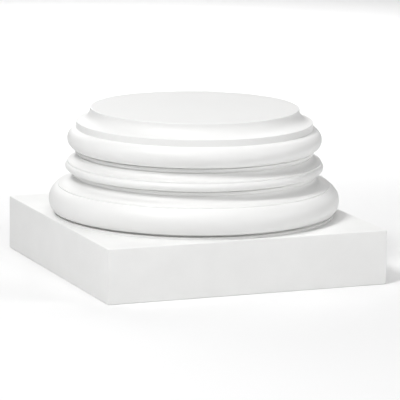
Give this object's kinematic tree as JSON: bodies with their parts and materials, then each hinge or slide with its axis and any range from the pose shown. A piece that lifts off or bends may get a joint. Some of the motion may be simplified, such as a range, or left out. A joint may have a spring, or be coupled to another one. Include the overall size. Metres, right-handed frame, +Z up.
{
  "type": "column base",
  "caption": "Round column base with stacked torus and scotia mouldings on a square plinth, and a flat top for the shaft to stand on.",
  "frame": {"origin": "middle of the plinth's underside, on the axis of the column", "axes": "+Z up along the column's axis, +X and +Y along the plinth's sides"},
  "size_m": [0.4, 0.4, 0.2216],
  "materials": {
    "primed_plinth": "white primed rigid polyurethane foam, fine eggshell surface",
    "primed_moulding": "white primed rigid polyurethane foam, smooth moulded surface"
  },
  "bodies": {
    "root": {"plinth": "primed_plinth", "base_moulding": "primed_moulding"}
  },
  "joints": []
}
